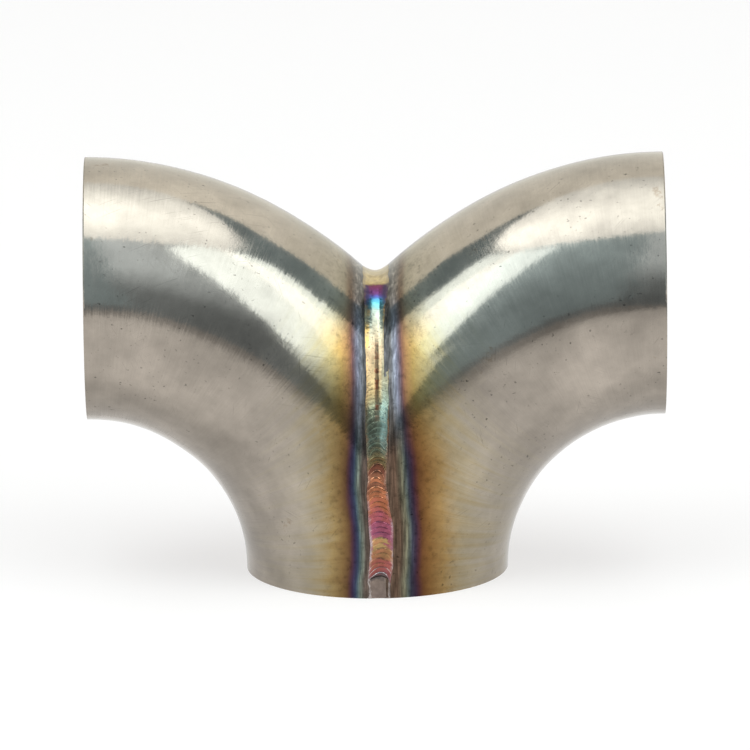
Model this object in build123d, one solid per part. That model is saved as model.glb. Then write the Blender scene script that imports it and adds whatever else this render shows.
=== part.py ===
from build123d import *
import os
from math import cos, hypot, pi, sin, sqrt

# Twin-elbow wye fitting: two 90 degree elbows of thin stainless tube that share one round
# inlet at the bottom and turn away from each other to two outlets. Each elbow is mitred on
# the fitting's mid-plane (X = 0), and one full-penetration TIG weld runs up the front of
# that mitre, over the crotch and down the back.
#
# Frame: origin at the centre of the inlet, in the plane of its end face. +Z points up the
# inlet's axis, +X along the right outlet. Millimetres.

# The tube and its bend.
tube_diameter = 63.5
wall = 1.5
bend_radius = 70.0
bend_angle = 90.0

# The weld. Its cap is a convex bead near the inlet and a hollow fillet in the crotch, and it
# penetrates to a low bead inside. The raised bead stops short of the inlet.
cap_half_width = 2.5
crotch_half_width = 2.9
crown = 0.6
crotch_crown = 0.35
flush_crown = 0.2
root_half_width = 1.3
root_height = 0.4
plain_end = 4.5
crater_length = 2.5

# How the weld is drawn: how many spans its loft has, how far past the inlet it runs before
# it is faced off, and how far each arc runs on into the wall, as a share of its half width.
spans = 40
overrun = 3.0
bite = 1.25

outer_radius = tube_diameter / 2
inner_radius = outer_radius - wall
crotch_height = sqrt((bend_radius + outer_radius) ** 2 - bend_radius**2)


def smooth_step(value):
    """0 below 0, 1 above 1, and an even S-curve between."""
    t = min(max(value, 0.0), 1.0)
    return t * t * (3 - 2 * t)


def torus_distance(x, y, z):
    """How far a point is from the elbow's bent centre line. Both elbows give the same."""
    return hypot(hypot(bend_radius - abs(x), z) - bend_radius, y)


def seam_point(turn):
    """The mitre's outer edge in the plane X = 0. turn runs from 0, at the front of the
    inlet, over pi / 2, at the crotch, to pi, at the back of the inlet."""
    s = sin(turn)
    y = -outer_radius * cos(turn) * sqrt(1 + s * s)
    z = s * sqrt(2 * bend_radius * outer_radius + (outer_radius * s) ** 2)
    return y, z


def seam_plane(turn):
    """The plane square across the seam: local Y points out of the fitting."""
    y, z = seam_point(turn)
    ring = hypot(bend_radius, z)
    outward = Vector(0, y, (ring - bend_radius) * z / ring).normalized()
    along = Vector(-1, 0, 0).cross(outward)
    return Plane(origin=(0, y, z), x_dir=(-1, 0, 0), z_dir=along)


def wall_height(plane, offset, radius):
    """Local Y at which a tube wall of this radius lies, offset sideways from the seam. It is
    found by Newton's method, from the height that a straight tube would have there."""
    height = radius - outer_radius
    step = 1e-4
    rounds = 6
    for _ in range(rounds):
        here = plane.from_local_coords((offset, height, 0))
        beyond = plane.from_local_coords((offset, height + step, 0))
        gap = torus_distance(*here) - radius
        slope = (torus_distance(*beyond) - radius - gap) / step
        height -= gap / slope
    return height


def bead_arc(half_width, edge, middle):
    """A bead's face, from right to left. It meets the wall at (half_width, edge) and runs on
    into the metal, so that the weld and the tube bite into each other."""
    end = middle + (edge - middle) * bite**2
    return ThreePointArc((half_width * bite, end), (0, middle), (-half_width * bite, end))


def weld_section(turn):
    """The fused metal square across the seam: cap, fusion line, root bead, fusion line."""
    plane = seam_plane(turn)
    up_the_seam = max(plane.origin.Z, 0.0)
    to_crotch = smooth_step(up_the_seam / crotch_height)
    raised = smooth_step((up_the_seam - plain_end) / crater_length)
    half_width = cap_half_width + (crotch_half_width - cap_half_width) * to_crotch
    toe = wall_height(plane, half_width, outer_radius)
    bead = crown + (crotch_crown - crown) * to_crotch
    top = toe / 2 + flush_crown + (bead - flush_crown) * raised
    heel = wall_height(plane, root_half_width, inner_radius)
    root = wall_height(plane, 0, inner_radius) - root_height
    cap_face = bead_arc(half_width, toe, top)
    root_face = bead_arc(root_half_width, heel, root)
    right_side = Line(root_face @ 0, cap_face @ 0)
    left_side = Line(cap_face @ 1, root_face @ 1)
    return plane * Wire([cap_face, left_side, root_face, right_side])


def seam_weld():
    """One bead over the whole mitre, lofted square to the seam and faced off at the inlet."""
    past_end = overrun / sqrt(2 * bend_radius * outer_radius)
    spacing = [(1 - cos(pi * k / spans)) / 2 for k in range(spans + 1)]
    turns = [-past_end + (pi + 2 * past_end) * share for share in spacing]
    bead = Solid.make_loft([weld_section(turn) for turn in turns])
    return split(bead, bisect_by=Plane.XY, keep=Keep.TOP)


def bent_tube():
    """A 90 degree elbow that leaves the inlet upwards and ends facing -X."""
    ring = Circle(outer_radius) - Circle(inner_radius)
    return revolve(ring, Axis((-bend_radius, 0, 0), (0, -1, 0)), bend_angle)


weld = seam_weld()
left_elbow = split(bent_tube(), bisect_by=Plane.YZ, keep=Keep.BOTTOM) - weld
right_elbow = mirror(left_elbow, about=Plane.YZ)

os.makedirs("parts", exist_ok=True)
for name, piece in {
    "left_elbow": left_elbow,
    "right_elbow": right_elbow,
    "seam_weld": weld,
}.items():
    export_step(piece, f"parts/{name}.step")
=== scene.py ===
from math import cos, pi, radians, sin

import bpy
import numpy as np
from mathutils import Matrix, Vector


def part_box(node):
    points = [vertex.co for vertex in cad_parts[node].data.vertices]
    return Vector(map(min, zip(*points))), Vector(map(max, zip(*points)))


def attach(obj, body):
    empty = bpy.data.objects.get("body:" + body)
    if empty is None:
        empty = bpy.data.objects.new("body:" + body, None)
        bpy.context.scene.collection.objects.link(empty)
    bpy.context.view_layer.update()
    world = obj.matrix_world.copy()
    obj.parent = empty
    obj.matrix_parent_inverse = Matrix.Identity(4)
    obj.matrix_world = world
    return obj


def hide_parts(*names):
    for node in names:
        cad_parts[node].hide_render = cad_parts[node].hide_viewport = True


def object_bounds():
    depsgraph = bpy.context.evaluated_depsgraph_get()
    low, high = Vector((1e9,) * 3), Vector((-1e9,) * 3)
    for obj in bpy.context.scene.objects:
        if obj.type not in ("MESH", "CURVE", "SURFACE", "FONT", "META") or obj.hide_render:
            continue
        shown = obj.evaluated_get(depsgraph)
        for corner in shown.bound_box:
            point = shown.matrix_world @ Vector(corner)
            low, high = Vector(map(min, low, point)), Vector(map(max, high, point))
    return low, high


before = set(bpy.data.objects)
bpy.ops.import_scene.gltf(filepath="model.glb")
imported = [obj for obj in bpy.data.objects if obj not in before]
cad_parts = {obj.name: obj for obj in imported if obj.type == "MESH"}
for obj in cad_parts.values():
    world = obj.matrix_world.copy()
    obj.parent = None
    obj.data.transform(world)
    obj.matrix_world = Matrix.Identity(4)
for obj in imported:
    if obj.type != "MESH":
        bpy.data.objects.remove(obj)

cad_low, cad_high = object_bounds()

# The camera. It stands in front of the seam and a little above it. Its lens is long, so the
# end faces of both outlets stay edge on.
camera_distance = 2.86
camera_elevation = radians(14.0)
camera_roll = radians(-0.59)
field_width = 0.182
sensor_width = 36.0
aim = Vector((-0.0002, 0.0, 0.468 * cad_high.z))

camera_data = bpy.data.cameras.new("camera")
camera_data.sensor_width = sensor_width
camera_data.lens = sensor_width * camera_distance / field_width
camera_data.clip_end = 50.0
camera = bpy.data.objects.new("camera", camera_data)
back_off = Vector((0.0, -cos(camera_elevation), sin(camera_elevation)))
look = Matrix.Rotation(pi / 2 - camera_elevation, 4, "X") @ Matrix.Rotation(camera_roll, 4, "Z")
camera.matrix_world = Matrix.Translation(aim + camera_distance * back_off) @ look
bpy.context.collection.objects.link(camera)
bpy.context.scene.camera = camera
bpy.context.scene.view_settings.view_transform = "Standard"


# The room. Its walls are white to the camera and to anything that mirrors them, and they
# give a weak even light.
def node(tree, kind, **values):
    """A shader node of this kind. Each value goes to the input or the setting of that name,
    and an output given as a value is linked. Underscores stand for spaces in an input."""
    made = tree.nodes.new("ShaderNode" + kind)
    for name, value in values.items():
        spaced = name.replace("_", " ")
        if not name.startswith("in") and hasattr(made, name):
            setattr(made, name, value)
            continue
        socket = made.inputs[int(name[2:])] if name[2:].isdigit() else made.inputs[spaced]
        if isinstance(value, bpy.types.NodeSocket):
            tree.links.new(value, socket)
        else:
            socket.default_value = value
    return made


def math(tree, operation, *values):
    """The output of a maths node."""
    inputs = {f"in{at}": value for at, value in enumerate(values)}
    return node(tree, "Math", operation=operation, **inputs).outputs[0]


def seen_directly(tree):
    """1 on a ray that shows the surface as it is: straight, mirrored or through glass."""
    ray = node(tree, "LightPath").outputs
    either = math(tree, "MAXIMUM", ray["Is Camera Ray"], ray["Is Glossy Ray"])
    return math(tree, "MAXIMUM", either, ray["Is Transmission Ray"])


room_glow = 0.25
world = bpy.data.worlds.new("room")
world.use_nodes = True
tree = world.node_tree
tree.nodes.clear()
strength = node(tree, "MapRange", Value=seen_directly(tree), To_Min=room_glow, To_Max=1.0)
background = node(tree, "Background", Color=(1, 1, 1, 1), Strength=strength.outputs[0])
tree.links.new(background.outputs[0], node(tree, "OutputWorld").inputs[0])
bpy.context.scene.world = world


# The floor: a wide round sheet of white board. It glows a little where it is seen, so that it
# stays white and still holds the soft shadow under the fitting.
def surface_object(name, points, wrap_u=False, wrap_v=False, uv=None, **attributes):
    """A mesh object on a grid of points, one quad between each four neighbours. points is an
    array (rows, columns, 3). A wrapped direction joins its last line to its first. uv holds
    a place for each quad's corners, and the other values are one number for each point."""
    rows, columns = points.shape[:2]
    index = np.arange(rows * columns).reshape(rows, columns)
    if wrap_u:
        index = np.concatenate([index, index[:1]], axis=0)
    if wrap_v:
        index = np.concatenate([index, index[:, :1]], axis=1)
    corners = [index[:-1, :-1], index[:-1, 1:], index[1:, 1:], index[1:, :-1]]
    quads = np.stack(corners, axis=-1).reshape(-1, 4)
    mesh = bpy.data.meshes.new(name)
    mesh.vertices.add(rows * columns)
    mesh.vertices.foreach_set("co", points.reshape(-1).astype(np.float32))
    mesh.loops.add(quads.size)
    mesh.loops.foreach_set("vertex_index", quads.reshape(-1).astype(np.int32))
    mesh.polygons.add(len(quads))
    mesh.polygons.foreach_set("loop_start", np.arange(0, quads.size, 4, dtype=np.int32))
    mesh.polygons.foreach_set("use_smooth", np.ones(len(quads), bool))
    for label, values in attributes.items():
        layer = mesh.attributes.new(label, "FLOAT", "POINT")
        each = np.broadcast_to(values, (rows, columns)).reshape(-1)
        layer.data.foreach_set("value", each.astype(np.float32))
    if uv is not None:
        mesh.uv_layers.new(name="wall").data.foreach_set("uv", uv.reshape(-1).astype(np.float32))
    mesh.update()
    mesh.validate()
    made = bpy.data.objects.new(name, mesh)
    bpy.context.collection.objects.link(made)
    return made


def new_material(name):
    """An empty material and its node tree."""
    material = bpy.data.materials.new(name)
    material.use_nodes = True
    material.node_tree.nodes.clear()
    return material, material.node_tree


floor_radius = 6.0
floor_white = (0.40, 0.365, 0.355)
floor_glow = 0.62
turn, out = np.meshgrid(np.linspace(0, 2 * pi, 65), np.linspace(0, floor_radius, 9), indexing="ij")
floor_points = np.stack([out * np.cos(turn), out * np.sin(turn), 0 * turn], axis=-1)
floor = surface_object("floor", floor_points)
material, tree = new_material("white_board")
matt = node(tree, "BsdfDiffuse", Color=(*floor_white, 1))
glow = node(tree, "Emission", Strength=math(tree, "MULTIPLY", seen_directly(tree), floor_glow))
both = node(tree, "AddShader", in0=matt.outputs[0], in1=glow.outputs[0])
tree.links.new(both.outputs[0], node(tree, "OutputMaterial").inputs[0])
floor.data.materials.append(material)


# The lamps: a tall soft box on each side of the camera and a round one overhead. Bent tube
# mirrors them as long bright bands that follow the bend.
def direction(azimuth, elevation):
    """Unit vectors towards places in the room, from angles in degrees. Azimuth 0 is the
    camera's side, and it grows to the right."""
    a, e = np.radians(azimuth), np.radians(elevation)
    return np.stack([np.sin(a) * np.cos(e), -np.cos(a) * np.cos(e), np.sin(e)], axis=-1)


def soft_box(name, azimuths, elevations, brightness, colour):
    """An upright soft box between two azimuths. Its middle line runs between two elevations.
    brightness is what its face shows when mirrored."""
    middle, half = (azimuths[0] + azimuths[1]) / 2, radians(azimuths[1] - azimuths[0]) / 2
    width = 2 * lamp_distance * np.tan(half)
    bottom, top = (lamp_distance * np.tan(radians(e)) for e in elevations)
    place = Vector(lamp_distance * direction(middle, 0)) + Vector((0, 0, (bottom + top) / 2))
    facing = Matrix.Rotation(radians(middle), 4, "Z") @ Matrix.Rotation(pi / 2, 4, "X")
    lamp(name, "RECTANGLE", place, facing, width, top - bottom, brightness, colour)


def lamp(name, shape, place, facing, width, height, brightness, colour):
    """A flat lamp that shines along its own -Z and can be seen in a mirror."""
    data = bpy.data.lights.new(name, "AREA")
    data.shape = shape
    data.size = width
    data.size_y = height
    data.energy = brightness * pi * width * height
    data.color = colour
    made = bpy.data.objects.new(name, data)
    made.matrix_world = Matrix.Translation(place) @ facing
    made.visible_camera = False
    bpy.context.collection.objects.link(made)
    return made


lamp_distance = 1.7
daylight = (0.86, 0.98, 1.0)
soft_box("left_box", (-81, -34.5), (2, 58), 2.1, daylight)
soft_box("right_box", (24.5, 80), (2, 60), 2.25, daylight)
top_place = Vector((-0.05, -0.05, 1.9))
top_box = lamp("top_box", "ELLIPSE", top_place, Matrix.Identity(4), 2.2, 2.1, 1.6, daylight)
top_box.visible_glossy = False


# The flags: dark cloths and grey cards that the fitting mirrors and the camera doesn't see.
# They stand for the unlit room in front of the table and between the soft boxes.
def smooth_step(value):
    """0 below 0, 1 above 1, and an even S-curve between."""
    t = np.clip(value, 0, 1)
    return t * t * (3 - 2 * t)


def flag(name, start, end, colour, distance=3.4):
    """A piece of a sphere round the fitting, stretched between two edges. Each edge is a list
    of points from bottom to top: azimuth, elevation and shade, which run evenly between."""
    u, v = np.meshgrid(np.linspace(0, 1, 25), np.linspace(0, 1, 33), indexing="ij")
    knots = np.linspace(0, 1, len(start))
    first, last = (
        np.stack([np.interp(v, knots, values) for values in zip(*edge)], axis=-1)
        for edge in (start, end)
    )
    azimuth, elevation, shade = np.moveaxis(first + (last - first) * u[..., None], -1, 0)
    hang(surface_object(name, distance * direction(azimuth, elevation), shade=shade), colour)


def hang(cloth, colour):
    """Dress a flag in a plain cloth of this colour times its shade. It casts no shadow."""
    material, tree = new_material(cloth.name)
    shade = node(tree, "Attribute", attribute_name="shade").outputs["Fac"]
    glow = node(tree, "Emission", Color=(*colour, 1), Strength=shade)
    tree.links.new(glow.outputs[0], node(tree, "OutputMaterial").inputs[0])
    cloth.data.materials.append(material)
    cloth.visible_camera = False
    cloth.visible_diffuse = False
    cloth.visible_shadow = False


cool = (0.70, 0.92, 1.02)
grey = (0.86, 1.0, 1.09)
warm = (1.0, 1.0, 0.92)
flag(
    "front_left_flag", ((-46, 0, 0.45), (-48, 21, 0.5), (-54, 42, 1.35), (-60, 63, 2.0)),
    ((0, 0, 0.50), (0, 21, 0.56), (0, 42, 0.62), (0, 63, 0.8)), cool,
)
flag(
    "front_right_flag", ((0, 0, 0.25), (0, 16, 0.36), (0, 36, 1.25), (0, 63, 1.4)),
    ((40, 0, 0.20), (40, 16, 0.24), (50, 36, 0.22), (60, 63, 0.2)), grey,
)
flag(
    "left_flag", ((-108, 0.5, 0.7), (-112, 40, 0.5), (-120, 52, 0.33), (-142, 62, 0.3)),
    ((-70, 0.5, 0.45), (-70, 40, 0.4), (-65, 52, 0.4), (-60, 63, 0.4)), cool,
)
flag(
    "right_flag", ((70, 0.5, 0.5), (70, 40, 0.45), (70, 52, 0.42), (60, 63, 0.4)),
    ((106, 0.5, 0.8), (112, 40, 0.65), (121, 52, 0.45), (150, 63, 0.35)), cool,
)
flag(
    "back_card", ((-254, 0.5, 1.0), (-248, 40, 1.15), (-239, 52, 1.25), (-210, 63, 1.3)),
    ((-108, 0.5, 1.0), (-112, 40, 1.15), (-120, 52, 1.25), (-142, 62, 1.3)), warm,
)

# The skirts of the two tall soft boxes: cloths in front of their lower ends that let through
# less and less of the light. Their top edges rise away from the camera.
flag(
    "left_skirt", ((-27, 0, 0.45), (-27, 8, 0.95), (-27, 18, 1.8)),
    ((-84, 8, 1.1), (-84, 28, 1.65), (-84, 47, 1.75)), daylight, 1.5,
)
flag(
    "right_skirt", ((21, 0, 0.25), (21, 6, 0.38), (21, 12, 0.9), (21, 17, 1.8)),
    ((84, 10, 0.4), (84, 28, 0.6), (84, 35, 1.0), (84, 42, 1.5)), daylight, 1.5,
)

# The face of the overhead box as the fitting mirrors it. It is brightest over the fitting and
# dims towards the back and the right.
top_face_radius = 1.08
turn, out = np.meshgrid(np.linspace(0, 2 * pi, 65), np.linspace(0, top_face_radius, 17), indexing="ij")
face = np.stack([out * np.cos(turn), -out * np.sin(turn), 0 * turn], axis=-1) + np.array(top_place)
to_back = (-1.13, -0.8, -0.4, 0.0, 0.4, 0.8, 1.03)
fade = np.interp(face[..., 1], to_back, (1.75, 2.1, 2.6, 2.6, 2.05, 1.4, 1.2))
to_right = (-0.8, -0.4, 0, 0.5, 0.9)
fade = fade * np.interp(face[..., 0], to_right, (1.38, 1.30, 1.08, 0.98, 0.86))
hang(surface_object("top_face", face, shade=fade), (0.94, 1.0, 1.0))

# The table's front edge and its dark side: a low cloth round the front, and on the right a dark
# floor that starts nearer and nearer to the fitting. Only the left elbow mirrors that.
rail_distance = 1.0
rail_height = 0.0505
u, v = np.meshgrid(np.linspace(0, 1, 33), np.linspace(0, 1, 5), indexing="ij")
rail = rail_distance * direction(-36 + 76 * u, -3.0 + 4.5 * v) + np.array((0, 0, rail_height))
hang(surface_object("table_rail", rail, shade=0.33 - 0.10 * u), grey)

u, v = np.meshgrid(np.linspace(0, 1, 9), np.linspace(0, 1, 9), indexing="ij")
x = 0.02 + 0.6 * u
y = np.minimum(-0.22, -1.6 + 10.8 * x) * (1 - v) - 3.0 * v
dark_floor = np.stack([x, y, 0 * x + 0.0004], axis=-1)
hang(surface_object("dark_floor", dark_floor, shade=0.32), grey)

# The floor as the fitting mirrors it: the shade of the camera and its stand, which widens away
# from the fitting, on a floor that is a little darker in the shadow under the tubes. near is the
# distance in front of the fitting, shaded and lit are the floor's levels there, and half is the
# shade's half width.
u, v = np.meshgrid(np.linspace(-1, 1, 81), np.linspace(0, 1, 65), indexing="ij")
x, y = 0.6 * u * np.abs(u), 0.03 - 1.33 * v**2
near = (0, 0.03, 0.05, 0.08, 0.11, 0.15, 0.20, 0.25, 0.31, 0.38, 0.45, 0.60)
levels = (0.74, 0.80, 1.0, 0.90, 0.86, 0.82, 0.86, 0.78, 0.63, 0.56, 0.46, 0.44)
shaded = np.interp(-y, near, levels)
shaded = shaded * np.where(-y > 0.4, np.interp(x, (-0.05, 0.05), (1.0, 0.8)), 1.0)
lit = np.interp(-y, (0, 0.03, 0.05, 0.1, 0.16, 0.3), (0.84, 0.96, 1.22, 1.2, 1.15, 1.1))
half = np.interp(-y, (0.36, 0.45, 0.6, 0.85, 1.3), (0, 0.02, 0.1, 0.18, 0.33))
fade = lit + (shaded - lit) * (1 - smooth_step((np.abs(x) - half) / 0.11))
shade_points = np.stack([x, y, 0 * x + 0.0002], axis=-1)
hang(surface_object("camera_shade", shade_points, shade=fade), (1, 1, 0.99))


# The elbows: two 90 degree bends of thin stainless tube, mandrel bent, so the outside of the
# bend is a little flat. Each is sawn on the fitting's mid-plane, with a gap for the weld, and
# brushed round the tube.
left_low, left_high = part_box("left_elbow")
tube_radius = left_high.y
bend_radius = -left_low.x
wall = 0.0015
flattening = 0.052
groove_outside = 0.0020
groove_inside = 0.0010


def mitre_angle(phi, depth, gap):
    """The bend angle at which a line along the wall meets the mitre, gap away from the
    mid-plane. There the distance to the bend's axis, times the angle's cosine, is the bend
    radius less the gap. Lines on the inside of the bend start at the inlet, at angle 0."""
    theta = np.zeros_like(phi)
    for _ in range(30):
        reach = bend_radius + (oval_radius(theta, phi) - depth) * np.cos(phi)
        theta = np.arccos(np.minimum(1.0, (bend_radius - gap) / reach))
    return theta


def oval_radius(theta, phi):
    """The outer wall's distance from the centre line: the tube's radius, less a flattening
    that grows to the middle of the bend and fades as the square of the cosine round it."""
    outside = np.clip(np.cos(phi), 0, 1) ** 2
    return tube_radius * (1 - flattening * np.sin(2 * theta) ** 2 * outside)


def elbow_point(theta, phi, depth):
    """A point of the right elbow at a bend angle, an angle round the tube (0 on the outside
    of the bend, a quarter turn at the back) and a depth below the outer wall."""
    radius = oval_radius(theta, phi) - depth
    ring = bend_radius + radius * np.cos(phi)
    x = bend_radius - ring * np.cos(theta)
    return np.stack([x, radius * np.sin(phi), ring * np.sin(theta)], axis=-1)


def bead_drift(y, z):
    """How far the welder's hand strayed to the right of the mid-plane, by height: once for the
    front of the seam and once for its back. All in millimetres until the end."""
    height = 1000 * z
    front_heights = (0, 4, 8, 13, 18, 23, 28, 34, 56, 72)
    front_stray = (0.3, 0.25, 0.8, 1.0, 0.85, 0.3, -0.08, 0.1, 0.3, 0.2)
    back_heights = (0, 10, 22, 36, 50, 72)
    back_stray = (-0.3, 0.4, 0.2, -0.6, -0.1, 0.2)
    front = np.interp(height, front_heights, front_stray)
    back = np.interp(height, back_heights, back_stray)
    return 0.001 * (back + (front - back) * np.clip(0.5 - y / 0.008, 0, 1))


def heat_distance(points):
    """How far from the arc a point of the tube was, in millimetres. The right elbow took more
    heat at its foot, so its colours lie further out there."""
    x, y, z = np.moveaxis(points, -1, 0)
    away = np.abs(x - bead_drift(y, z))
    foot = np.where(x > 0, smooth_step((0.058 - z) / 0.03), 0)
    return 1000 * away / (1.0 + 0.38 * foot)


def fine_steps(first, last, count, crowd):
    """Steps from first to last, closer together at both ends when crowd is near 1."""
    t = np.linspace(0, 1, count)
    return first + (last - first) * (t - crowd * np.sin(2 * pi * t) / (2 * pi))


def elbow_grid(along, around):
    """The closed skin of the right elbow. A line runs from the mitre along the outer wall,
    round the outlet's edge, back along the inner wall and round the mitre's edge."""
    edge = 0.00018
    corner = edge * (1 - np.cos(np.linspace(0, pi / 2, 4)[1:]))
    outlet_depths = np.concatenate([corner, wall - corner[::-1]])
    outer = fine_steps(0, 1, along, 0.6)
    inner = fine_steps(1, 0, along // 3, 0.6)
    share = np.concatenate([outer, np.ones(len(outlet_depths)), inner, np.zeros(3)])
    groove_depths = wall * np.array([0.8, 0.5, 0.2])
    depth = np.concatenate([0 * outer, outlet_depths, wall + 0 * inner, groove_depths])
    pull_back = np.zeros(len(share))
    bevel = edge * (1 - np.sin(np.linspace(0, pi / 2, 4)[1:]))
    pull_back[along - 1] = edge
    pull_back[along:along + 3] = bevel
    pull_back[along + 3:along + 6] = bevel[::-1]
    pull_back[along + 6] = edge
    half = np.linspace(0, pi, around // 2 + 1)[:-1]
    outside = np.arctan2(-np.cos(half) * np.sqrt(1 + np.sin(half) ** 2), np.sin(half) ** 2)
    inside = np.linspace(pi / 2, 3 * pi / 2, around // 2 + 1)[:-1]
    phi, depth = np.meshgrid(np.concatenate([outside, inside]), depth, indexing="xy")
    share = np.broadcast_to(share[:, None], phi.shape)
    gap = groove_outside + (groove_inside - groove_outside) * np.clip(depth / wall, 0, 1)
    start = mitre_angle(phi, depth, gap)
    end = pi / 2 - pull_back[:, None] / bend_radius
    theta = start + (end - start) * share
    return theta, phi, depth


def make_elbow(name, side, seed):
    """One elbow. side is 1 for the right one and -1 for its mirror image. Slow waves left by
    the bending mandrel lift and lower the outer wall by a few hundredths of a millimetre."""
    theta, phi, depth = elbow_grid(190, 300)
    rng = np.random.default_rng(seed)
    waves = np.zeros_like(theta)
    for _ in range(14):
        about = rng.integers(1, 7)
        along = rng.uniform(4, 26)
        size = 0.00016 / (about + along)
        waves += size * np.cos(about * phi + along * theta + rng.uniform(0, 2 * pi))
    points = elbow_point(theta, phi, depth - waves * (depth < wall / 2))
    points[..., 0] *= side
    points[..., 2] = np.maximum(points[..., 2], 0.0)
    if side > 0:
        points, theta, phi = points[:, ::-1], theta[:, ::-1], phi[:, ::-1]
    arc = np.stack([theta * bend_radius, np.unwrap(phi, axis=1) * tube_radius], axis=-1)
    uv = quad_corners(arc, closing=(0.0, 2 * pi * tube_radius * (1 if side < 0 else -1)))
    return surface_object(
        name, points, wrap_u=True, wrap_v=True, uv=uv,
        arc=heat_distance(points), top=smooth_step((points[..., 2] - 0.034) / 0.016),
        crotch=smooth_step((points[..., 2] - 0.060) / 0.014),
    )


def quad_corners(arc, closing):
    """The UV of each quad's four corners on a grid that wraps both ways. Past its last column
    the map runs on by closing instead of jumping back."""
    arc = np.concatenate([arc, arc[:1]], axis=0)
    arc = np.concatenate([arc, arc[:, :1] + np.array(closing)], axis=1)
    return np.stack([arc[:-1, :-1], arc[:-1, 1:], arc[1:, 1:], arc[1:, :-1]], axis=2)


def colour_ramp(tree, value, stops, interpolation="LINEAR"):
    """A ramp over stops, each a position with a colour of three or four parts."""
    ramp = node(tree, "ValToRGB", in0=value)
    ramp.color_ramp.interpolation = interpolation
    elements = ramp.color_ramp.elements
    while len(elements) > 1:
        elements.remove(elements[-1])
    for at, (position, colour) in enumerate(stops):
        element = elements[0] if at == 0 else elements.new(position)
        element.position = position
        element.color = (*colour, 1.0)[:4]
    return ramp


def mix_colour(tree, factor, first, second, blend="MIX"):
    """Two colours mixed."""
    return node(
        tree, "Mix", data_type="RGBA", blend_type=blend, in0=factor, in6=first, in7=second
    ).outputs[2]


def mix_value(tree, factor, first, second):
    """Two numbers mixed."""
    return node(tree, "Mix", data_type="FLOAT", in0=factor, in2=first, in3=second).outputs[0]


# Temper colours of stainless steel by distance from the arc, in millimetres: dull oxide by the
# bead, a silver line, navy, purple, brown and straw. The fourth part is how well they cover.
temper_foot = [
    (0.0, (0.12, 0.10, 0.085, 1)), (3.3, (0.13, 0.10, 0.085, 1)), (3.8, (0.11, 0.10, 0.085, 1)),
    (4.5, (0.18, 0.21, 0.175, 1)), (5.0, (0.10, 0.145, 0.155, 1)), (5.5, (0.045, 0.06, 0.105, 1)),
    (6.2, (0.05, 0.035, 0.075, 1)), (6.8, (0.09, 0.042, 0.05, 1)), (7.4, (0.14, 0.075, 0.038, 1)),
    (8.6, (0.22, 0.135, 0.055, 1)), (11.0, (0.33, 0.235, 0.105, 1)),
    (15.0, (0.39, 0.32, 0.19, 0.75)), (20.0, (0.42, 0.37, 0.26, 0.4)), (29.0, (0.46, 0.41, 0.32, 0)),
]
temper_top = [
    (0.0, (0.10, 0.10, 0.11, 1)), (3.2, (0.14, 0.13, 0.13, 1)), (3.9, (0.25, 0.25, 0.29, 1)),
    (4.6, (0.24, 0.23, 0.29, 1)), (5.1, (0.17, 0.135, 0.16, 1)), (5.6, (0.15, 0.08, 0.085, 1)),
    (6.1, (0.24, 0.11, 0.07, 1)), (7.0, (0.34, 0.18, 0.075, 1)), (8.5, (0.36, 0.23, 0.08, 1)),
    (11.0, (0.41, 0.31, 0.14, 0.95)), (15.0, (0.42, 0.35, 0.21, 0.7)),
    (21.0, (0.43, 0.38, 0.27, 0.25)), (28.0, (0.43, 0.38, 0.30, 0)),
]
temper_crotch = [
    (0.0, (0.13, 0.12, 0.115, 1)), (3.4, (0.14, 0.13, 0.12, 1)), (4.3, (0.19, 0.175, 0.16, 1)),
    (5.2, (0.17, 0.145, 0.125, 1)), (5.9, (0.135, 0.10, 0.075, 1)), (6.6, (0.19, 0.145, 0.105, 1)),
    (7.6, (0.27, 0.235, 0.175, 0.95)), (10.0, (0.33, 0.29, 0.215, 0.65)),
    (16.0, (0.38, 0.335, 0.26, 0.3)), (24.0, (0.40, 0.35, 0.28, 0)),
]
heat_reach = 30.0


def noise(tree, vector, scale, detail, roughness=0.5, turn=0.0):
    """Noise from 0 to 1. scale is in grains per metre, one number or one for each direction.
    turn is an angle in degrees to lay it at."""
    scales = (scale, scale, scale) if isinstance(scale, (int, float)) else (*scale, 1.0)[:3]
    if turn:
        vector = node(
            tree, "VectorRotate", rotation_type="Z_AXIS", Vector=vector, Angle=radians(turn)
        ).outputs[0]
    placed = node(tree, "Mapping", vector_type="POINT", Vector=vector, Scale=scales).outputs[0]
    return node(
        tree, "TexNoise", Vector=placed, Scale=1.0, Detail=detail, Roughness=roughness
    ).outputs[0]


def grey_ramp(tree, value, *stops):
    """A ramp over grey stops, each a position with a level."""
    return colour_ramp(tree, value, [(at, (level, level, level)) for at, level in stops]).outputs[0]


def multiply(tree, first, *others):
    """Colours multiplied with one another."""
    for other in others:
        first = mix_colour(tree, 1.0, first, other, "MULTIPLY")
    return first


def masked(tree, mask, colour):
    """A colour to multiply with where the mask is 1, and white where it is 0."""
    return mix_colour(tree, mask, (1, 1, 1, 1), colour)


def scaled(tree, value, first, last, low=0.0, high=1.0):
    """A value stretched evenly from one range to another, and held past its ends."""
    return node(
        tree, "MapRange", Value=value, From_Min=first, From_Max=last, To_Min=low, To_Max=high
    ).outputs[0]


def attribute(tree, name):
    """A value that the mesh holds for each of its points."""
    return node(tree, "Attribute", attribute_name=name).outputs["Fac"]


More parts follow.
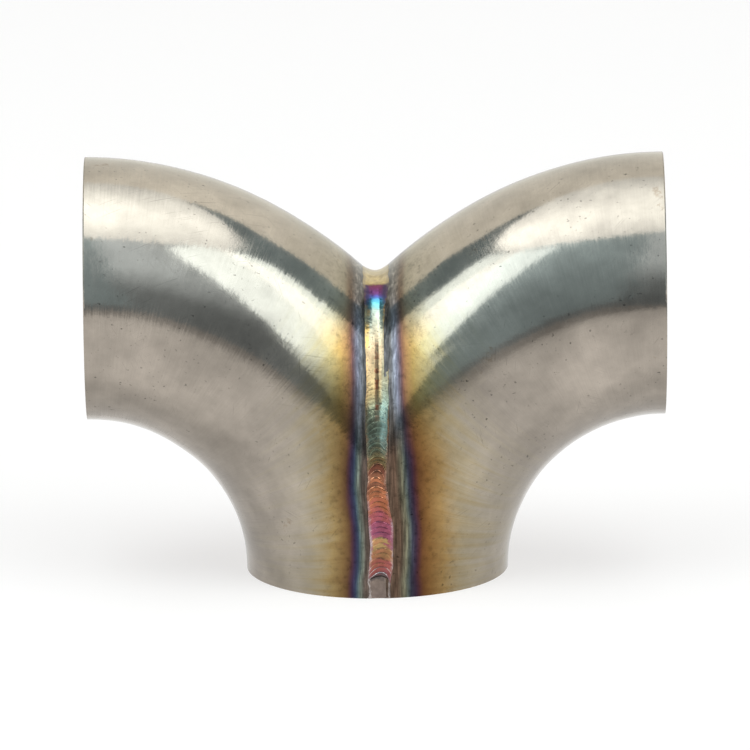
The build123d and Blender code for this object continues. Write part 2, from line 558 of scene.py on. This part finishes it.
def temper_tint(tree, place, right, brush_marks):
    """The tube's temper colours and how well they cover the steel. They wander along the weld,
    are streaky beside it and follow the brush marks further out. The foot of the right elbow is
    more brown and a little darker: partly heat colour, partly painted shade where it mirrors a
    dark band."""
    arc, top, crotch = (attribute(tree, name) for name in ("arc", "top", "crotch"))
    runs = noise(tree, place, (1700, 500, 130), 3, 0.6)
    wander = math(tree, "SUBTRACT", noise(tree, place, (60, 60, 45), 3, 0.55), 0.5)
    wander = math(tree, "MULTIPLY_ADD", wander, 0.35, 1.0)
    stray = math(tree, "SUBTRACT", brush_marks, 0.5)
    stray = math(tree, "MULTIPLY", stray, scaled(tree, arc, 7.5, 16.0, 0.0, 0.9))
    share = math(tree, "MULTIPLY", arc, math(tree, "ADD", wander, stray))
    share = math(tree, "DIVIDE", share, heat_reach)
    foot, upper, crown = (
        colour_ramp(tree, share, [(mm / heat_reach, colour) for mm, colour in stops])
        for stops in (temper_foot, temper_top, temper_crotch)
    )
    tint = mix_colour(tree, top, foot.outputs[0], upper.outputs[0])
    tint = mix_colour(tree, crotch, tint, crown.outputs[0])
    cover = mix_value(tree, top, foot.outputs[1], upper.outputs[1])
    cover = mix_value(tree, crotch, cover, crown.outputs[1])
    streaky = grey_ramp(tree, runs, (0.34, 0.58), (0.52, 1.0), (0.68, 1.7))
    streaky = masked(tree, scaled(tree, arc, 7.0, 4.5), streaky)
    right_foot = math(tree, "MULTIPLY", right, scaled(tree, arc, 14.0, 8.0))
    right_foot = math(tree, "MULTIPLY", right_foot, math(tree, "SUBTRACT", 1.0, top))
    # Heat colour and painted shade: the right elbow's foot is tinted more brown and a little darker
    # where it mirrors a dark band.
    browner_and_shaded = masked(tree, right_foot, (1.04, 0.86, 0.70, 1))
    return multiply(tree, tint, streaky, browner_and_shaded), cover


def handling_marks(tree, place, uv, clouds, mottle, streaks):
    """What brushing and handling leave, to multiply the steel's colour with: brush marks, pits,
    speckle near the weld, smudges of dirt and two sets of scratches."""
    brushed = grey_ramp(tree, streaks, (0.3, 0.95), (0.7, 1.03))
    uneven = grey_ramp(tree, mottle, (0.3, 0.88), (0.7, 1.08))
    pitted = grey_ramp(tree, noise(tree, place, 90, 2), (0.42, 0.0), (0.58, 1.0))
    pits = grey_ramp(tree, noise(tree, place, 1000, 2), (0.25, 0.40), (0.33, 1.0))
    speckle = noise(tree, place, 520, 4, 0.7)
    speckle = grey_ramp(tree, speckle, (0.34, 0.72), (0.46, 1.0), (0.62, 1.1))
    by_weld = scaled(tree, attribute(tree, "arc"), 16.0, 9.0)
    smudges = noise(tree, place, 75, 5, 0.7)
    dirt = colour_ramp(tree, smudges, [(0.66, (1, 1, 1)), (0.74, (0.66, 0.58, 0.50))]).outputs[0]
    return multiply(
        tree, brushed, uneven, masked(tree, pitted, pits), masked(tree, by_weld, speckle), dirt,
        scratch_set(tree, uv, mottle, 38), scratch_set(tree, uv, clouds, -52),
    )


def scratch_set(tree, uv, where, turn):
    """Thin dark scratches, all at one angle to the bend, where another noise is high."""
    lines = noise(tree, uv, (3600, 110), 1, 0.4, turn)
    lines = grey_ramp(tree, lines, (0.67, 1.0), (0.72, 0.80))
    return masked(tree, grey_ramp(tree, where, (0.52, 0.0), (0.62, 1.0)), lines)


def brushed_normal(tree, streaks, mottle, right):
    """The wall's normal, leant round the tube by each brush mark, over a slight relief. The
    left elbow is brushed more coarsely."""
    along = node(tree, "Tangent", direction_type="UV_MAP", uv_map="wall").outputs[0]
    normal = node(tree, "NewGeometry").outputs["Normal"]
    around = node(tree, "VectorMath", operation="CROSS_PRODUCT", in0=normal, in1=along)
    coarse = math(tree, "MULTIPLY_ADD", right, -0.05, 0.08)
    lean = math(tree, "MULTIPLY", math(tree, "SUBTRACT", streaks, 0.5), coarse)
    lean = node(tree, "VectorMath", operation="SCALE", in0=around.outputs[0], Scale=lean)
    tilted = node(tree, "VectorMath", operation="ADD", in0=normal, in1=lean.outputs[0])
    tilted = node(tree, "VectorMath", operation="NORMALIZE", in0=tilted.outputs[0])
    return node(
        tree, "Bump", Height=mottle, Normal=tilted.outputs[0], Strength=0.15, Distance=0.0003
    ).outputs[0]


def brushed_steel(name):
    """Stainless tube, brushed round the tube and scuffed by handling, with temper colours
    beside the weld."""
    material, tree = new_material(name)
    place = node(tree, "TexCoord").outputs["Object"]
    uv = node(tree, "UVMap", uv_map="wall").outputs[0]
    right = node(tree, "SeparateXYZ", Vector=place).outputs[0]
    right = scaled(tree, right, -0.004, 0.004)
    streaks = noise(tree, uv, (2800, 90), 3, 0.65)
    brush_marks = noise(tree, uv, (500, 22), 3, 0.6)
    clouds = noise(tree, place, 34, 4, 0.6)
    mottle = noise(tree, place, 150, 4, 0.6)

    shades = [(0.34, (0.305, 0.27, 0.232)), (0.66, (0.46, 0.408, 0.35))]
    steel = colour_ramp(tree, clouds, shades).outputs[0]
    tint, cover = temper_tint(tree, place, right, brush_marks)
    marks = handling_marks(tree, place, uv, clouds, mottle, streaks)
    colour = multiply(tree, mix_colour(tree, cover, steel, tint), marks)
    rough = math(tree, "SUBTRACT", scaled(tree, streaks, 0.25, 0.75, 0.07, 0.15), 0.03)
    rough = math(tree, "MULTIPLY_ADD", mottle, 0.10, rough)
    skin = node(
        tree, "BsdfPrincipled", Base_Color=colour, Metallic=1.0, Roughness=rough,
        Normal=brushed_normal(tree, streaks, mottle, right),
    )
    tree.links.new(skin.outputs[0], node(tree, "OutputMaterial").inputs[0])
    return material


tube_steel = brushed_steel("brushed_steel")
for name, side, seed in (("right_elbow_shell", 1, 3), ("left_elbow_shell", -1, 8)):
    shell = make_elbow(name, side, seed)
    shell.data.materials.append(tube_steel)
    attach(shell, "root")
    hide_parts(name.replace("_shell", ""))


# The weld: one bead laid by hand with a TIG torch from the crotch down each side. It fills the
# groove, with a ripple for each dip of the filler rod, and shows temper colours of its own.
ripple_pitch = 0.00128
bead_stations = 1400
bead_columns = 48
root_columns = 10
root_half_width = 0.0014
root_height = 0.0004

# The bead by distance from the crotch, both in millimetres: its half width, the height of its
# rounded part, how far the ripples bow towards the crotch and how high they stand.
bead_half_widths = (
    (0, 3.2), (8, 3.1), (14, 3.0), (30, 2.9), (40, 2.85), (48, 2.75), (54, 2.5), (58, 2.25),
    (62, 2.6), (66, 2.9), (80, 2.9), (87, 2.75),
)
dome_heights = ((0, 0.08), (14, 0.06), (38, 0.06), (45, 0.4), (52, 0.55), (87, 0.6))
ripple_bows = ((0, 1.2), (46, 1.4), (52, 2.2), (62, 1.7), (76, 1.6), (81, 2.4))
ripple_heights = (
    (0, 0.006), (9, 0.012), (14, 0.020), (24, 0.014), (32, 0.012), (38, 0.020), (42, 0.05),
    (48, 0.05), (51, 0.10), (60, 0.13), (63, 0.08), (77, 0.075), (80, 0.12), (87, 0.12),
)

# The fillet by the same distance: how full its middle is, as a share of the way from the seam
# to its toes, and how blunt the valley between the toes is.
fillet_fullness = (
    (0, 0.56), (8, 0.52), (14, 0.45), (20, 0.42), (26, 0.37), (32, 0.27), (40, 0.25),
    (46, 0.35), (52, 0.45), (87, 0.5),
)
fillet_bluntness = (
    (0, 0.8), (8, 0.8), (14, 0.75), (20, 0.68), (26, 0.55), (32, 0.32), (40, 0.26),
    (46, 0.4), (52, 0.6), (87, 0.6),
)


def seam_line(turn):
    """The mitre's outer edge in the mid-plane, y and z. turn runs from 0 at the front of the
    inlet, over pi / 2 at the crotch, to pi at the back. The sine of the angle round the tube
    is minus the turn's cosine times the root of 1 plus its squared sine."""
    phi = np.arctan2(-np.cos(turn) * np.sqrt(1 + np.sin(turn) ** 2), np.sin(turn) ** 2)
    theta = mitre_angle(phi, 0.0, 0.0)
    point = elbow_point(theta, phi, 0.0)
    return point[..., 1], point[..., 2]


def wall_rise(y, z, out_y, out_z, offset, depth, guess):
    """How far along (out_y, out_z) from a seam point the tube wall lies, at an offset from the
    mid-plane. It is found by Newton's method on the distance to the wall."""
    rise = guess + np.zeros(np.broadcast(y, offset).shape)
    step = 1e-6
    for _ in range(12):
        gap = wall_gap(offset, y + rise * out_y, z + rise * out_z, depth)
        beyond = wall_gap(offset, y + (rise + step) * out_y, z + (rise + step) * out_z, depth)
        rise -= gap * step / (beyond - gap)
    return rise


def wall_gap(x, y, z, depth):
    """The distance from a point to the tube wall: positive outside it."""
    ring = np.hypot(bend_radius - np.abs(x), z)
    outward = ring - bend_radius
    theta = np.arctan2(z, bend_radius - np.abs(x))
    phi = np.arctan2(y, outward)
    return np.hypot(outward, y) - oval_radius(theta, phi) + depth


def make_weld():
    """The bead's skin, on a grid of stations along the seam by columns round its section. The
    cap is a hollow fillet in the crotch and a rounded bead below it. Each ripple is a low
    bowed lobe with a narrow valley at its edge. At the inlet the bead ends in a flat crater."""
    turn = np.linspace(0, pi, bead_stations)
    y, z = seam_line(turn)
    length = np.concatenate([[0], np.cumsum(np.hypot(np.diff(y), np.diff(z)))])
    turn = np.interp(np.linspace(0, length[-1], bead_stations), length, turn)
    y, z = seam_line(turn)
    length = np.linspace(0, length[-1], bead_stations)
    crotch = length[-1] / 2
    dy, dz = np.gradient(y), np.gradient(z)
    size = np.hypot(dy, dz)
    out_y, out_z = -dz / size, dy / size
    y, z, out_y, out_z, length = (v[:, None] for v in (y, z, out_y, out_z, length))
    down = np.abs(crotch - length)
    from_end = crotch - down

    across = np.linspace(-1, 1, bead_columns)[None, :]
    side = np.abs(across)
    rng = np.random.default_rng(5)
    knot_count = 90
    knots = np.linspace(0, 2 * crotch, knot_count)
    unsteady = np.interp(length, knots, rng.normal(0, 0.03, knot_count))
    half_width = 0.001 * by_distance(down, bead_half_widths) * (1 + unsteady)
    drift = bead_drift(y, z)
    toe_left, toe_right = (
        wall_rise(y, z, out_y, out_z, drift + end * half_width, 0.0, 0.0) for end in (-1, 1)
    )
    blunt = by_distance(down, fillet_bluntness)
    valley = (np.hypot(across, blunt) - blunt) / (np.hypot(1, blunt) - blunt)
    middle = by_distance(down, fillet_fullness) * (toe_left + toe_right) / 2
    fillet = middle + (np.where(across < 0, toe_left, toe_right) - middle) * valley
    dome = 0.001 * by_distance(down, dome_heights) * (1 - side**2.2)
    crater_top = 0.0052 - 0.0014 * across**2
    raised = smooth_step((from_end - crater_top) / 0.0009)

    unevenness = 0.20
    early = np.interp(length, knots, rng.normal(0, unevenness, knot_count))
    slanted = np.interp(length, knots, rng.normal(0, unevenness, knot_count))
    bow = 0.001 * by_distance(down, ripple_bows) * across**2
    phase = (from_end + bow) / ripple_pitch + early + across * slanted
    lobe = np.floor(phase).astype(int)
    within = 2 * (phase - lobe) - 1
    tallness = rng.uniform(0.3, 1.4, 400)[lobe % 400]
    swing = 0.001 * by_distance(down, ripple_heights)
    ripples = swing * (1 - side**4) * (tallness * (1 - np.abs(within) ** 3) + 0.4 * within)
    ragged_knots = np.linspace(0, 2 * crotch, 300)
    ragged = np.interp(length, ragged_knots, rng.uniform(-1, 1, 300))
    lip_place = 0.86 + 0.07 * ragged * np.sign(across)
    lip = 0.00012 * np.exp(-(((side - lip_place) / 0.06) ** 2)) * (0.7 + 0.7 * ragged)
    crater = lip - 0.00022 * smooth_step((0.84 - side) / 0.18)
    height = fillet + raised * (dome + ripples) + (1 - raised) * crater
    x = half_width * across + drift
    cap = np.stack([x, y + height * out_y, z + height * out_z], axis=-1)

    root_across = np.linspace(1, -1, root_columns)[None, :]
    x = root_half_width * root_across + 0 * y
    height = wall_rise(y, z, out_y, out_z, x, wall, -wall)
    height = height - root_height * (1 - root_across**2) - 0.00002
    root = np.stack([x, y + height * out_y, z + height * out_z], axis=-1)
    points = np.concatenate([cap, root], axis=1)
    points[..., 2] = np.maximum(points[..., 2], 0.0)

    flat_below = 0.00006
    depth = 0.5 + 0.5 * within * np.minimum(1, swing / flat_below) * raised
    return surface_object(
        "seam_bead", closed_ends(points), wrap_v=True,
        seam=bead_layer(down / crotch), across=bead_layer(across, 1.0),
        ripple=bead_layer(depth, 0.5), lobe=bead_layer(tallness - 0.85, 0.0),
        crater=bead_layer(1 - raised, 0.0),
    )


def by_distance(down, knots):
    """A size by distance from the crotch, which knots gives in millimetres. It is averaged over
    three millimetres of seam, so that it has no kinks."""
    distances, sizes = zip(*knots)
    steps = np.linspace(-1.5, 1.5, 9)
    return np.mean([np.interp(1000 * down + step, distances, sizes) for step in steps], axis=0)


def closed_ends(points):
    """The grid with its first and last rows gathered to a point, so that the skin is closed."""
    first, last = (
        np.broadcast_to(row.mean(axis=0), row.shape)[None] for row in (points[0], points[-1])
    )
    return np.concatenate([first, points, last], axis=0)


def bead_layer(values, root_value=None):
    """A value for each point of the bead's skin. The root's columns take root_value, or the
    cap's own when there is none."""
    cap = np.broadcast_to(values, (bead_stations, bead_columns))
    if root_value is None:
        root = np.repeat(cap[:, :1], root_columns, axis=1)
    else:
        root = np.full((bead_stations, root_columns), root_value)
    both = np.concatenate([cap, root], axis=1)
    return np.concatenate([both[:1], both, both[-1:]], axis=0)


# Colours down the middle of the bead and along its toes, by share of the way from the crotch
# to the inlet.
bead_colours = [
    (0.00, (0.46, 0.38, 0.24)), (0.080, (0.44, 0.34, 0.17)), (0.084, (0.12, 0.03, 0.06)),
    (0.089, (0.19, 0.045, 0.11)), (0.118, (0.14, 0.05, 0.17)), (0.135, (0.08, 0.10, 0.34)),
    (0.150, (0.06, 0.26, 0.38)), (0.166, (0.14, 0.38, 0.40)), (0.182, (0.31, 0.38, 0.33)),
    (0.25, (0.39, 0.34, 0.24)), (0.30, (0.41, 0.29, 0.175)), (0.42, (0.41, 0.285, 0.14)),
    (0.46, (0.26, 0.27, 0.18)), (0.54, (0.20, 0.23, 0.17)), (0.58, (0.20, 0.17, 0.09)),
    (0.61, (0.17, 0.11, 0.05)), (0.63, (0.19, 0.07, 0.045)), (0.665, (0.28, 0.12, 0.07)),
    (0.69, (0.42, 0.16, 0.08)), (0.72, (0.46, 0.16, 0.08)), (0.745, (0.42, 0.12, 0.11)),
    (0.775, (0.38, 0.10, 0.14)), (0.81, (0.33, 0.10, 0.17)), (0.828, (0.36, 0.13, 0.13)),
    (0.845, (0.42, 0.24, 0.11)), (0.87, (0.42, 0.19, 0.10)), (0.89, (0.40, 0.12, 0.10)),
    (0.915, (0.26, 0.09, 0.10)), (0.93, (0.13, 0.11, 0.11)), (0.945, (0.24, 0.19, 0.16)),
    (1.00, (0.23, 0.18, 0.16)),
]
toe_colours = [
    (0.09, (0.32, 0.26, 0.17)), (0.12, (0.07, 0.05, 0.08)), (0.17, (0.16, 0.10, 0.06)),
    (0.20, (0.50, 0.32, 0.13)), (0.28, (0.50, 0.32, 0.12)), (0.45, (0.40, 0.24, 0.13)),
    (0.60, (0.27, 0.16, 0.11)), (0.70, (0.30, 0.17, 0.13)), (0.78, (0.32, 0.21, 0.23)),
    (0.88, (0.40, 0.33, 0.33)), (1.0, (0.36, 0.31, 0.30)),
]
navy = (0.045, 0.04, 0.09, 1)
straw = (0.44, 0.33, 0.12, 1)
# Dark reddish brown: painted reflection of the dark front that the middle of the bead mirrors, tinted
# by heat.
heat_tinted_dark_reflection = (0.24, 0.075, 0.035, 1)
# Pale green: painted highlight on the bead's right flank, tinted by heat.
mint_highlight = (0.40, 0.50, 0.42, 1)
soot = (0.05, 0.045, 0.04, 1)
bright_lip = (0.46, 0.42, 0.40, 1)
# Pale grey: painted highlight for the crests of the last ripples.
crest_highlight = (0.55, 0.50, 0.48, 1)


def bead_tint(tree, seam, across, lobe, blotch):
    """The heat colours along the bead. They bow as its ripples do, and from half way down each
    ripple is a little ahead or behind. The blue stretch has navy corners, and one spot near
    the foot is straw."""
    side = math(tree, "ABSOLUTE", across)
    late = scaled(tree, seam, 0.5, 0.6)
    bowed = math(tree, "MULTIPLY_ADD", math(tree, "POWER", side, 2.0), -0.022, seam)
    bowed = math(tree, "MULTIPLY_ADD", math(tree, "POWER", side, 7.0), -0.012, bowed)
    bowed = math(tree, "MULTIPLY_ADD", math(tree, "MULTIPLY", lobe, late), 0.026, bowed)
    patchy = math(tree, "MULTIPLY_ADD", late, 0.06, 0.03)
    bowed = math(tree, "MULTIPLY_ADD", math(tree, "SUBTRACT", blotch, 0.5), patchy, bowed)
    tint = colour_ramp(tree, bowed, bead_colours).outputs[0]
    corners = multiply(
        tree, grey_ramp(tree, side, (0.40, 0.0), (0.62, 1.0)),
        grey_ramp(tree, seam, (0.09, 0.0), (0.10, 0.8), (0.16, 0.8), (0.20, 0.0)),
    )
    tint = mix_colour(tree, corners, tint, navy)
    spot = multiply(
        tree, grey_ramp(tree, across, (0.5, 1.0), (0.7, 0.0)),
        grey_ramp(tree, bowed, (0.828, 0.0), (0.836, 0.75), (0.846, 0.0)),
    )
    return mix_colour(tree, spot, tint, straw)


def bead_bands(tree, tint, seam, across, edge, lobe, blotch):
    """The tint with the bands that run along the bead: its toes, a broken dark reddish line down the
    middle of its cream stretch, which is painted reflection of the dark front tinted by heat, and
    a pale green painted highlight, tinted by heat, on the right of its green stretch."""
    wider = grey_ramp(tree, seam, (0.16, 0.0), (0.18, 0.22), (0.27, 0.20), (0.32, 0.0))
    toes = multiply(
        tree, grey_ramp(tree, math(tree, "ADD", edge, wider), (0.72, 0.0), (0.90, 1.0)),
        grey_ramp(tree, blotch, (0.40, 0.3), (0.55, 1.0)),
    )
    colour = mix_colour(tree, toes, tint, colour_ramp(tree, seam, toe_colours).outputs[0])
    # Painted reflection: a broken dark reddish line down the bead's middle, where it mirrors the dark
    # front.
    line = multiply(
        tree, grey_ramp(tree, edge, (0.08, 0.9), (0.26, 0.0)),
        grey_ramp(tree, seam, (0.27, 0.0), (0.32, 1.0), (0.46, 1.0), (0.52, 0.0)),
        grey_ramp(tree, lobe, (0.0, 0.35), (0.15, 1.0)),
    )
    colour = mix_colour(tree, line, colour, heat_tinted_dark_reflection)
    # Painted highlight, pale green with heat, on the right flank of the green stretch.
    right = math(tree, "MULTIPLY_ADD", math(tree, "SUBTRACT", blotch, 0.5), 0.5, across)
    mint_highlight_mask = multiply(
        tree, grey_ramp(tree, seam, (0.26, 0.0), (0.40, 0.4), (0.46, 0.9), (0.55, 0.9), (0.60, 0.0)),
        grey_ramp(tree, right, (0.22, 0.0), (0.48, 1.0), (0.9, 1.0), (1.0, 0.0)),
    )
    return mix_colour(tree, mint_highlight_mask, colour, mint_highlight)


def welded_steel(name):
    """Weld metal as it froze: glossy, tinted by heat, with painted shade in each ripple's valley and
    in the crease at the toes and a painted highlight along each ripple's crest, ticked with soot
    half way down, bright on the crater's lips, and with a painted highlight on the last ripples."""
    material, tree = new_material(name)
    place = node(tree, "TexCoord").outputs["Object"]
    seam, across, ripple, lobe, crater = (
        attribute(tree, label) for label in ("seam", "across", "ripple", "lobe", "crater")
    )
    grain = noise(tree, place, 900, 3, 0.6)
    blotch = noise(tree, place, 260, 3, 0.6)
    sparkle = noise(tree, place, 2300, 2, 0.6)
    side = math(tree, "ABSOLUTE", across)
    edge = math(tree, "MULTIPLY_ADD", math(tree, "SUBTRACT", grain, 0.5), 0.5, side)

    tint = bead_tint(tree, seam, across, lobe, blotch)
    colour = bead_bands(tree, tint, seam, across, edge, lobe, blotch)
    # Painted shade in each ripple's valley and a painted highlight along its crest.
    ripple_shade_and_highlight = grey_ramp(
        tree, ripple, (0.0, 0.62), (0.05, 0.85), (0.16, 1.0), (0.80, 1.0), (0.90, 1.45),
        (0.96, 1.2), (1.0, 0.6),
    )
    # Painted shade in the crease at the bead's toes, below the crotch.
    below_crotch = grey_ramp(tree, seam, (0.10, 0.0), (0.14, 1.0))
    toe_crease_shade = masked(tree, below_crotch, grey_ramp(tree, side, (0.92, 1.0), (1.0, 0.65)))
    patches = grey_ramp(tree, blotch, (0.3, 0.72), (0.7, 1.28))
    grains = grey_ramp(tree, grain, (0.35, 0.88), (0.65, 1.12))
    ticks = multiply(
        tree, grey_ramp(tree, seam, (0.16, 0.0), (0.20, 1.0), (0.56, 1.0), (0.62, 0.0)),
        grey_ramp(tree, sparkle, (0.30, 1.0), (0.38, 0.0)),
    )
    colour = multiply(tree, colour, ripple_shade_and_highlight, toe_crease_shade, patches, grains)
    colour = mix_colour(tree, ticks, colour, soot)
    lips = multiply(
        tree, crater, grey_ramp(tree, edge, (0.74, 0.0), (0.84, 0.8), (0.95, 0.0)),
        grey_ramp(tree, blotch, (0.40, 0.1), (0.55, 1.0)),
    )
    colour = mix_colour(tree, lips, colour, bright_lip)
    # Painted highlight on the crests of the last ripples.
    last_ripples = multiply(
        tree, grey_ramp(tree, ripple, (0.78, 0.0), (0.86, 1.0)),
        grey_ramp(tree, seam, (0.905, 0.0), (0.92, 0.9), (0.95, 0.0)),
    )
    colour = mix_colour(tree, last_ripples, colour, crest_highlight)

    rugged = grey_ramp(
        tree, seam, (0.12, 0.10), (0.20, 0.35), (0.40, 0.35), (0.46, 1.0), (0.64, 1.0), (0.70, 0.5),
    )
    relief = node(tree, "Bump", Height=blotch, Strength=0.25, Distance=0.0003).outputs[0]
    relief = node(
        tree, "Bump", Height=sparkle, Strength=rugged, Distance=0.00005, Normal=relief
    ).outputs[0]
    rough = scaled(tree, grain, 0.3, 0.7, 0.10, 0.22)
    metal = node(
        tree, "BsdfPrincipled", Base_Color=colour, Metallic=1.0, Roughness=rough, Normal=relief
    )
    tree.links.new(metal.outputs[0], node(tree, "OutputMaterial").inputs[0])
    return material


weld = make_weld()
weld.data.materials.append(welded_steel("welded_steel"))
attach(weld, "root")
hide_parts("seam_weld")
